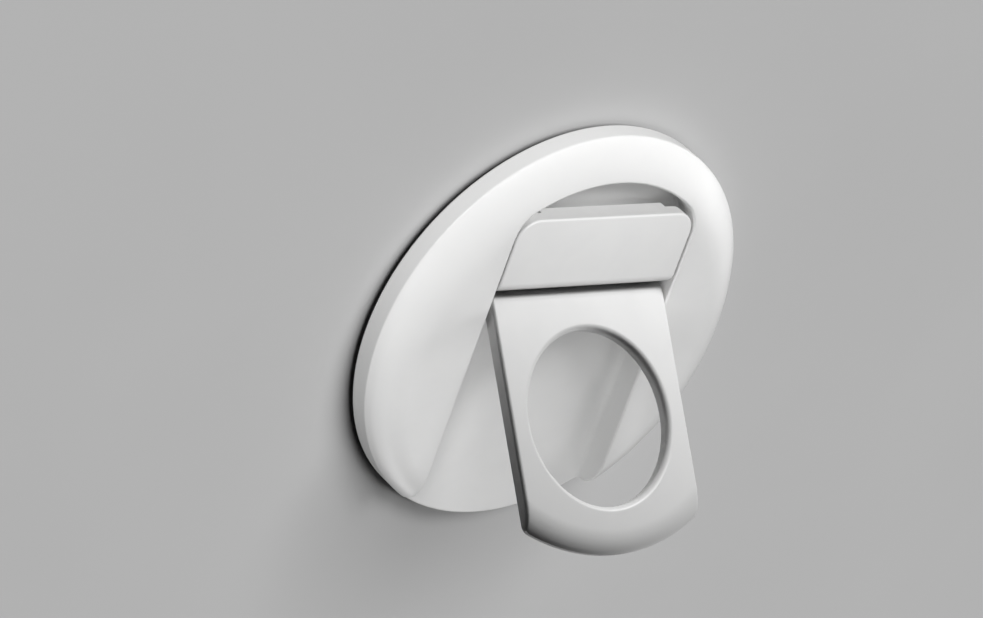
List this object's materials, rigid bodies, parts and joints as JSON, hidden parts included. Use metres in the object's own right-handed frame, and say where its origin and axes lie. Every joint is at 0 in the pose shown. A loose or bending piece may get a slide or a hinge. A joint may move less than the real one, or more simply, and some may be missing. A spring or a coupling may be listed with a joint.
{
  "type": "laptop phone mount",
  "caption": "Round magnetic phone mount with a flip-out hook for a laptop lid and a ring arm that is a kickstand and finger grip.",
  "frame": {"origin": "centre of the soft pad's face, which lies on the phone", "axes": "+Z along the disc's axis away from the phone, +Y from the ring arm towards the laptop hook, +X along the hinge pins"},
  "size_m": [0.06, 0.06, 0.0294],
  "materials": {
    "white_shell": "fine matte white moulded plastic",
    "white_arm": "fine matte white moulded plastic",
    "white_hook": "fine matte white moulded plastic",
    "soft_pad": "soft dark silicone",
    "inner_plastic": "plain grey moulding",
    "steel": "plain steel",
    "bronze": "plain bronze",
    "magnet": "nickel plated"
  },
  "bodies": {
    "disc": {"housing": "white_shell", "contact_pad": "soft_pad", "shunt_ring": "steel", "hinge_keeper": "inner_plastic", "keeper_screws": "steel", "arm_pin": "steel", "hook_pin": "steel", "magnet_01": "magnet", "magnet_02": "magnet", "magnet_03": "magnet", "magnet_04": "magnet", "magnet_05": "magnet", "magnet_06": "magnet", "magnet_07": "magnet", "magnet_08": "magnet", "magnet_09": "magnet", "magnet_10": "magnet", "magnet_11": "magnet", "magnet_12": "magnet", "magnet_13": "magnet", "magnet_14": "magnet", "magnet_15": "magnet", "magnet_16": "magnet"},
    "arm": {"ring_arm": "white_arm", "friction_sleeve_left": "bronze", "friction_sleeve_right": "bronze"},
    "hook": {"laptop_hook": "white_hook", "hook_pad": "soft_pad"}
  },
  "joints": [
    {"name": "arm_hinge", "type": "hinge", "parent": "disc", "child": "arm", "pos_m": [0, 0.00533, 0.0048], "axis": [-1, 0, 0], "range_deg": [-44, 46]},
    {"name": "hook_hinge", "type": "hinge", "parent": "disc", "child": "hook", "pos_m": [0, 0.0097, 0.0051], "axis": [1, 0, 0], "range_deg": [0, 90]}
  ]
}
